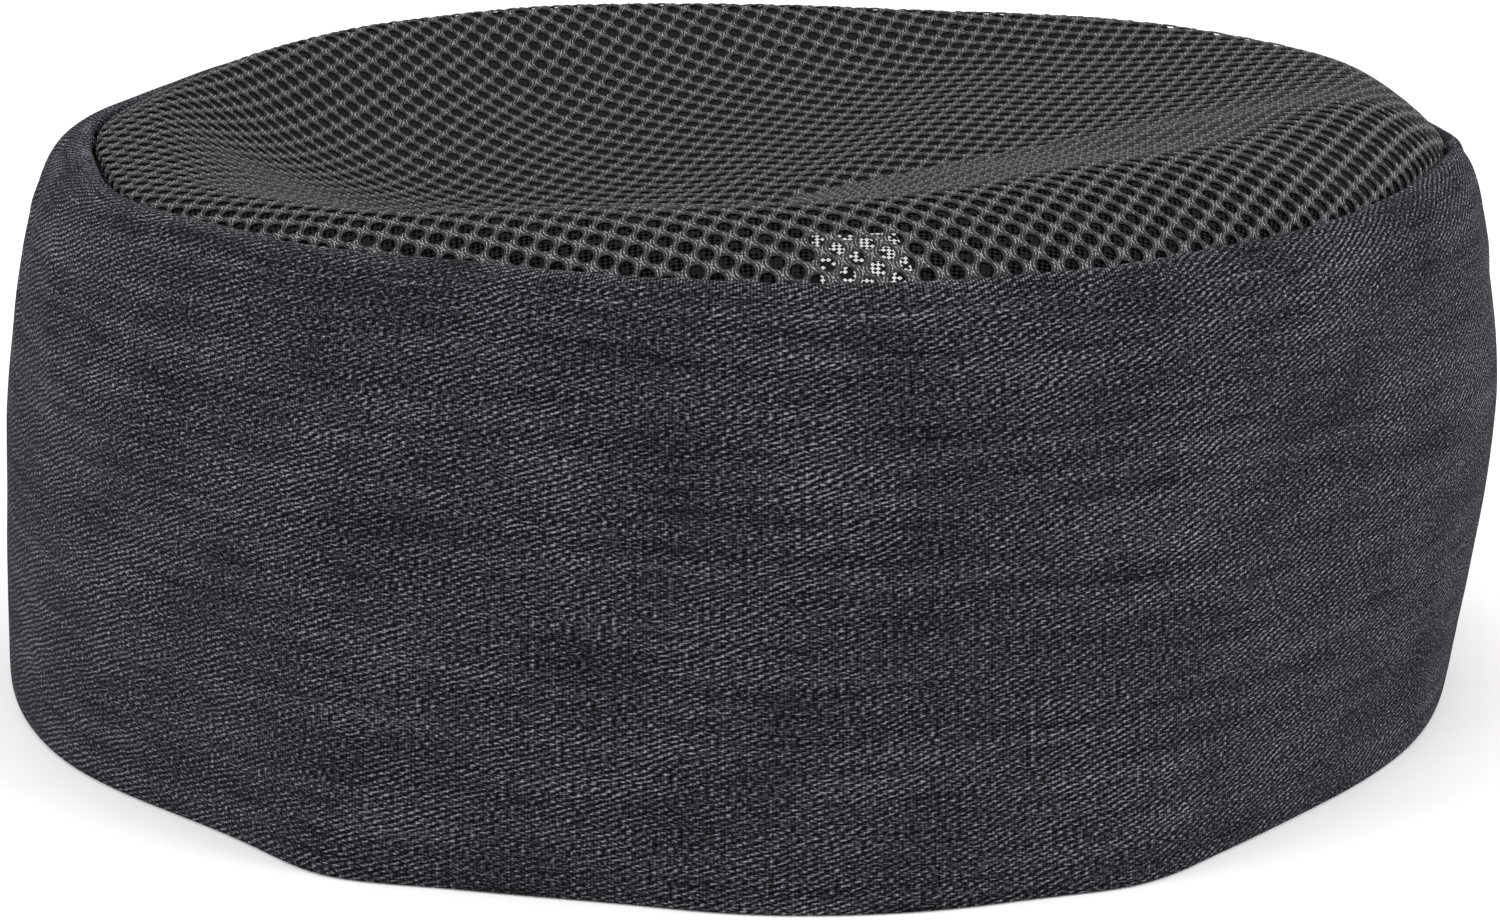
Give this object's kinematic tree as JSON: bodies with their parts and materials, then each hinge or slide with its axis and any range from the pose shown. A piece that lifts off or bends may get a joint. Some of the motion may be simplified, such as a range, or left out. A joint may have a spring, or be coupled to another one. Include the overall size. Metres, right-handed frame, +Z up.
{
  "type": "chef skull cap",
  "caption": "Round chef's skull cap with a deep charcoal denim band, a soft spacer mesh crown and a blank inner label.",
  "frame": {"origin": "on the surface the cap stands on, under the middle of its bounding box", "axes": "+Z up through the crown, -Y to the front that the picture shows, +X to the right of that view"},
  "size_m": [0.1908, 0.1902, 0.0758],
  "materials": {
    "denim": "charcoal denim twill with pale heather flecks",
    "spacer_mesh": "charcoal warp-knitted spacer mesh",
    "label_tape": "white woven tape, blank"
  },
  "bodies": {
    "root": {"band": "denim", "crown_mesh": "spacer_mesh", "care_label": "label_tape"}
  },
  "joints": []
}
